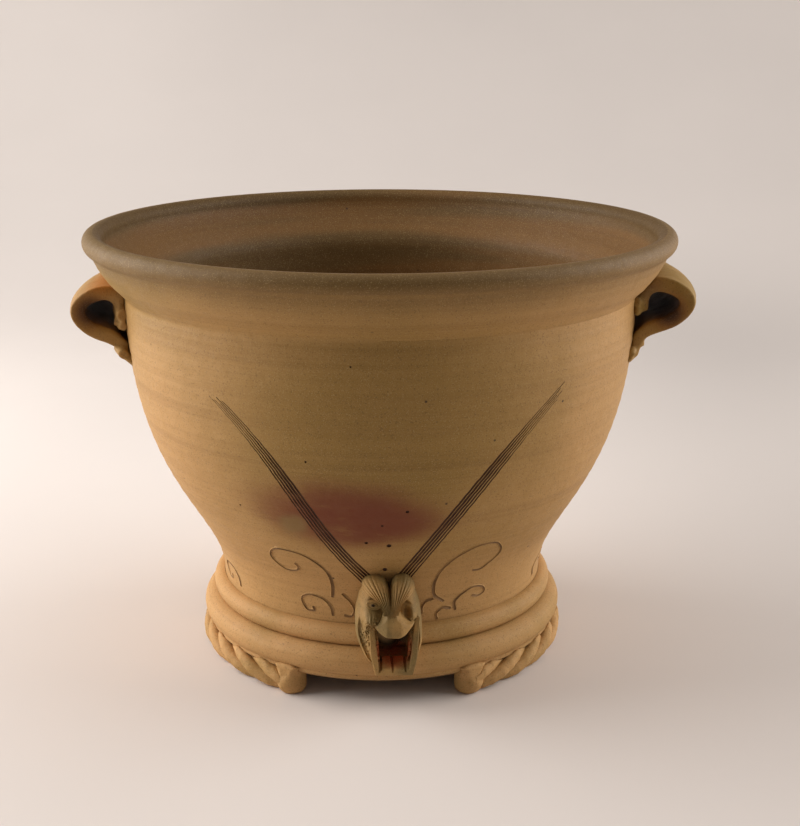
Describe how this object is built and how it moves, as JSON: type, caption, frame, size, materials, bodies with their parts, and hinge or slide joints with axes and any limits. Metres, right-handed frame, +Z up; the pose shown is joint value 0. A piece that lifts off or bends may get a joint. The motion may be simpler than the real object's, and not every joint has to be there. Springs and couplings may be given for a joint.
{
  "type": "planter",
  "caption": "Wide thrown clay planter with flared rolled rim, curled strap handles, foot ring on twisted rope feet and a grotesque mask whose open mouth drains the bowl.",
  "frame": {"origin": "on the ground under the middle of the bowl", "axes": "+Z up out of the bowl's mouth; the mask and its drain face -Y; the handles stand out along +X and -X"},
  "size_m": [0.4256, 0.402, 0.2985],
  "materials": {
    "bowl_clay": "Unglazed wood-fired clay, tan to ochre, fine grog speckle, faint throwing bands and a maroon flash low on the front; rough.",
    "ring_clay": "Unglazed wood-fired clay, ochre, turned smooth with fine throwing lines; rough.",
    "handle_clay": "Unglazed wood-fired clay, tan with brown scorch inside the curl; rough.",
    "foot_clay": "Unglazed wood-fired clay, olive tan, patted rope; rough.",
    "mask_clay": "Unglazed wood-fired clay, greyer tan, hand modelled and combed; rough."
  },
  "bodies": {
    "root": {"bowl": "bowl_clay", "foot_ring": "ring_clay", "left_foot_first_toe": "foot_clay", "left_foot_second_toe": "foot_clay", "left_foot_strand_1": "foot_clay", "left_foot_strand_2": "foot_clay", "left_foot_strand_3": "foot_clay", "left_foot_strand_4": "foot_clay", "left_handle": "handle_clay", "mask_jaw": "mask_clay", "mask_left_brow": "mask_clay", "mask_left_eye": "mask_clay", "mask_muzzle": "mask_clay", "mask_right_brow": "mask_clay", "mask_slab": "mask_clay", "rear_foot_first_toe": "foot_clay", "rear_foot_second_toe": "foot_clay", "rear_foot_strand_1": "foot_clay", "rear_foot_strand_2": "foot_clay", "rear_foot_strand_3": "foot_clay", "rear_foot_strand_4": "foot_clay", "right_foot_first_toe": "foot_clay", "right_foot_second_toe": "foot_clay", "right_foot_strand_1": "foot_clay", "right_foot_strand_2": "foot_clay", "right_foot_strand_3": "foot_clay", "right_foot_strand_4": "foot_clay", "right_handle": "handle_clay", "waist_coil": "ring_clay"}
  },
  "joints": []
}
